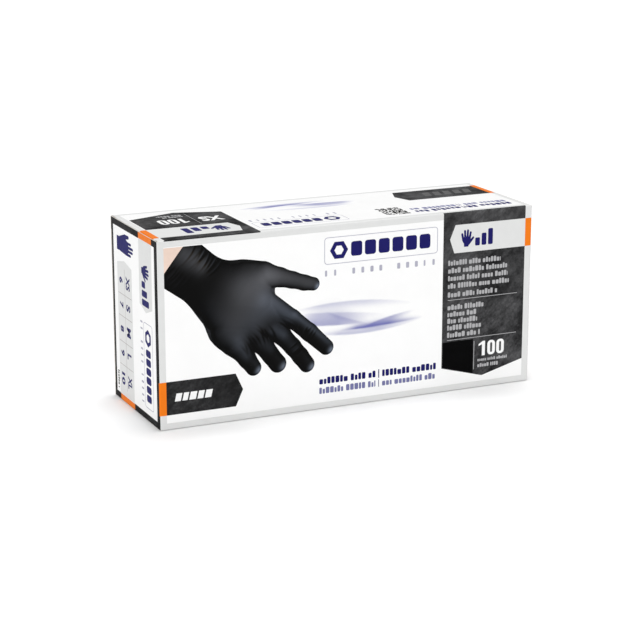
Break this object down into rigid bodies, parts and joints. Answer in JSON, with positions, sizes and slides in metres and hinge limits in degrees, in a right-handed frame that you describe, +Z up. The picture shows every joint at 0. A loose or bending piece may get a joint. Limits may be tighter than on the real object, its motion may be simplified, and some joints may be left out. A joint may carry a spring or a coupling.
{
  "type": "disposable glove dispenser carton",
  "caption": "Printed paperboard carton of flat-packed disposable gloves, with tuck ends, dust flaps and a tear-open dispensing aperture in the back panel.",
  "frame": {"origin": "centre of the bottom panel's outer face, on the surface that the carton stands on", "axes": "+X along the carton's length, -Y out of the large front panel, +Y out of the back panel with the aperture, +Z up"},
  "size_m": [0.24, 0.078, 0.11],
  "materials": {
    "printed_board": "white clay-coated folding boxboard, offset printed in charcoal, light grey, navy and orange, satin varnish",
    "inner_board": "uncoated grey-white reverse of the boxboard, matt and fibrous",
    "adhesive": "dried dispersion glue, slightly glossy",
    "nitrile": "black nitrile film, satin, fine wrinkles and textured fingertips"
  },
  "bodies": {
    "carton": {"front_panel": "printed_board", "back_panel": "printed_board", "top_panel": "printed_board", "bottom_panel": "printed_board", "glue_flap": "inner_board", "seam_adhesive": "adhesive", "glove_layer_01": "nitrile", "glove_layer_02": "nitrile", "glove_layer_03": "nitrile", "glove_layer_04": "nitrile", "glove_layer_05": "nitrile", "glove_layer_06": "nitrile", "glove_layer_07": "nitrile", "glove_layer_08": "nitrile", "glove_layer_09": "nitrile", "glove_layer_10": "nitrile", "glove_layer_11": "nitrile", "glove_layer_12": "nitrile", "glove_layer_13": "nitrile", "glove_layer_14": "nitrile", "glove_layer_15": "nitrile", "glove_layer_16": "nitrile", "glove_layer_17": "nitrile", "glove_layer_18": "nitrile", "glove_layer_19": "nitrile", "glove_layer_20": "nitrile", "glove_layer_21": "nitrile", "glove_layer_22": "nitrile", "glove_layer_23": "nitrile", "glove_layer_24": "nitrile", "glove_layer_25": "nitrile"},
    "aperture_flap": {"aperture_flap": "printed_board"},
    "left_end_panel": {"left_end_panel": "printed_board"},
    "left_tuck_tongue": {"left_tuck_tongue": "printed_board"},
    "left_upper_dust_flap": {"left_upper_dust_flap": "inner_board"},
    "left_lower_dust_flap": {"left_lower_dust_flap": "inner_board"},
    "right_end_panel": {"right_end_panel": "printed_board"},
    "right_tuck_tongue": {"right_tuck_tongue": "printed_board"},
    "right_upper_dust_flap": {"right_upper_dust_flap": "inner_board"},
    "right_lower_dust_flap": {"right_lower_dust_flap": "inner_board"}
  },
  "joints": [
    {"name": "aperture_flap_hinge", "type": "hinge", "parent": "carton", "child": "aperture_flap", "pos_m": [0, 0.039, 0.0373], "axis": [-1, 0, 0], "range_deg": [0, 145]},
    {"name": "left_end_hinge", "type": "hinge", "parent": "carton", "child": "left_end_panel", "pos_m": [-0.12, -0.039, 0.055], "axis": [0, 0, 1], "range_deg": [0, 135]},
    {"name": "left_tongue_crease", "type": "hinge", "parent": "left_end_panel", "child": "left_tuck_tongue", "pos_m": [-0.12, 0.0382, 0.055], "axis": [0, 0, 1], "range_deg": [0, 27]},
    {"name": "left_upper_dust_crease", "type": "hinge", "parent": "carton", "child": "left_upper_dust_flap", "pos_m": [-0.1192, 0, 0.11], "axis": [0, 1, 0], "range_deg": [0, 90]},
    {"name": "left_lower_dust_crease", "type": "hinge", "parent": "carton", "child": "left_lower_dust_flap", "pos_m": [-0.1192, 0, 0], "axis": [0, -1, 0], "range_deg": [0, 90]},
    {"name": "right_end_hinge", "type": "hinge", "parent": "carton", "child": "right_end_panel", "pos_m": [0.12, -0.039, 0.055], "axis": [0, 0, -1], "range_deg": [0, 135]},
    {"name": "right_tongue_crease", "type": "hinge", "parent": "right_end_panel", "child": "right_tuck_tongue", "pos_m": [0.12, 0.0382, 0.055], "axis": [0, 0, -1], "range_deg": [0, 27]},
    {"name": "right_upper_dust_crease", "type": "hinge", "parent": "carton", "child": "right_upper_dust_flap", "pos_m": [0.1192, 0, 0.11], "axis": [0, -1, 0], "range_deg": [0, 90]},
    {"name": "right_lower_dust_crease", "type": "hinge", "parent": "carton", "child": "right_lower_dust_flap", "pos_m": [0.1192, 0, 0], "axis": [0, 1, 0], "range_deg": [0, 90]}
  ],
  "couplings": [
    {"joint": "left_tongue_crease", "follows": "left_end_hinge", "ratio": 0.2},
    {"joint": "left_upper_dust_crease", "follows": "left_end_hinge", "ratio": 0.666},
    {"joint": "left_lower_dust_crease", "follows": "left_end_hinge", "ratio": 0.666},
    {"joint": "right_tongue_crease", "follows": "right_end_hinge", "ratio": 0.2},
    {"joint": "right_upper_dust_crease", "follows": "right_end_hinge", "ratio": 0.666},
    {"joint": "right_lower_dust_crease", "follows": "right_end_hinge", "ratio": 0.666}
  ]
}
